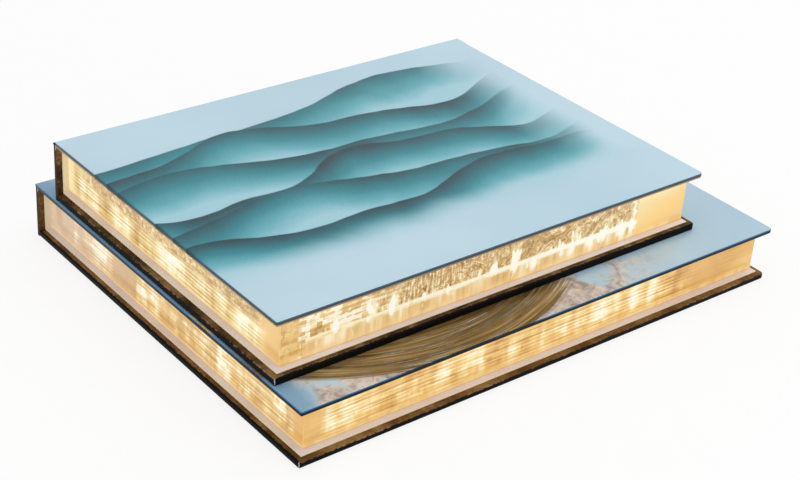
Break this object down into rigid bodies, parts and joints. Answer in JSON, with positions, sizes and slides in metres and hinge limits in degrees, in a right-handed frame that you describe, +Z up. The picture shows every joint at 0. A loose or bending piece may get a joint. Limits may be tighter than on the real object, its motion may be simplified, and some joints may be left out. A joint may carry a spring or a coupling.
{
  "type": "folding book lamp",
  "caption": "Two stacked hardback volumes with lit clear acrylic page blocks; the covers fold open on their spines and a rocker switch is let into each spine.",
  "frame": {"origin": "centre of the lower volume underside, on the surface that it rests on", "axes": "+X from the spines to the fore-edges, +Y from tail to head, +Z up"},
  "size_m": [0.2815, 0.3504, 0.0738],
  "materials": {
    "upper_print": "greyboard under glossy laminated paper printed pale blue with teal shapes",
    "lower_print": "greyboard under glossy laminated paper printed pale blue with umber strokes",
    "bookcloth": "near-black coated bookcloth over board, slightly glossy, rubbed at the corners",
    "endpaper": "matt pale pink paper",
    "white_acrylic": "opaque white acrylic sheet",
    "page_acrylic": "clear acrylic bars with polished edges, lit warm white from inside",
    "film": "crinkled clear film",
    "opal_acrylic": "opal acrylic sheet, lit from below",
    "rail_aluminium": "plain extruded aluminium",
    "steel": "bright zinc-plated steel",
    "strip": "white flexible circuit strip",
    "led": "phosphor-filled chips, lit",
    "black_plastic": "moulded black plastic",
    "rocker_plastic": "moulded black plastic, finely grained",
    "white_plastic": "white nylon",
    "battery_sleeve": "blue shrink sleeve",
    "circuit_board": "green solder mask",
    "wire": "red insulated wire"
  },
  "bodies": {
    "lower_case": {"lower_back_board": "bookcloth", "lower_spine_board": "bookcloth", "lower_back_endpaper": "endpaper", "lower_spine_lining": "endpaper", "lower_base_plate": "white_acrylic", "lower_fore_pages": "page_acrylic", "lower_tail_pages": "page_acrylic", "lower_head_pages": "page_acrylic", "lower_spine_pages": "page_acrylic", "lower_crinkle_film": "film", "lower_top_leaf": "opal_acrylic", "lower_posts": "rail_aluminium", "lower_top_screws": "steel", "lower_base_screws": "steel", "lower_led_rails": "rail_aluminium", "lower_led_strips": "strip", "lower_led_chips": "led", "lower_battery_tray": "black_plastic", "lower_battery": "battery_sleeve", "lower_control_board": "circuit_board", "lower_standoffs": "white_plastic", "lower_board_parts": "black_plastic", "lower_charge_socket": "steel", "lower_switch_body": "black_plastic", "lower_wires": "wire"},
    "lower_cover": {"lower_front_board": "lower_print", "lower_front_endpaper": "endpaper", "lower_joint_cloth": "bookcloth"},
    "lower_rocker": {"lower_switch_rocker": "rocker_plastic"},
    "upper_case": {"upper_back_board": "bookcloth", "upper_spine_board": "bookcloth", "upper_back_endpaper": "endpaper", "upper_spine_lining": "endpaper", "upper_base_plate": "white_acrylic", "upper_fore_pages": "page_acrylic", "upper_tail_pages": "page_acrylic", "upper_head_pages": "page_acrylic", "upper_spine_pages": "page_acrylic", "upper_crinkle_film": "film", "upper_top_leaf": "opal_acrylic", "upper_posts": "rail_aluminium", "upper_top_screws": "steel", "upper_base_screws": "steel", "upper_led_rails": "rail_aluminium", "upper_led_strips": "strip", "upper_led_chips": "led", "upper_battery_tray": "black_plastic", "upper_battery": "battery_sleeve", "upper_control_board": "circuit_board", "upper_standoffs": "white_plastic", "upper_board_parts": "black_plastic", "upper_charge_socket": "steel", "upper_switch_body": "black_plastic", "upper_wires": "wire"},
    "upper_cover": {"upper_front_board": "upper_print", "upper_front_endpaper": "endpaper", "upper_joint_cloth": "bookcloth"},
    "upper_rocker": {"upper_switch_rocker": "rocker_plastic"}
  },
  "joints": [
    {"name": "lower_cover_fold", "type": "hinge", "parent": "lower_case", "child": "lower_cover", "pos_m": [-0.1398, 0, 0.0352], "axis": [0, -1, 0], "range_deg": [0, 100]},
    {"name": "upper_volume_lift", "type": "slide", "parent": "lower_cover", "child": "upper_case", "axis": [0, 0, 1], "range_m": [0, 0.15]},
    {"name": "upper_cover_fold", "type": "hinge", "parent": "upper_case", "child": "upper_cover", "pos_m": [-0.1167, -0.0208, 0.0738], "axis": [0, -1, 0], "range_deg": [0, 180]},
    {"name": "lower_switch_rock", "type": "hinge", "parent": "lower_case", "child": "lower_rocker", "pos_m": [-0.1378, 0.09685, 0.0176], "axis": [0, 0, 1], "range_deg": [-16, 0]},
    {"name": "upper_switch_rock", "type": "hinge", "parent": "upper_case", "child": "upper_rocker", "pos_m": [-0.1147, 0.05405, 0.0545], "axis": [0, 0, 1], "range_deg": [-16, 0]}
  ]
}
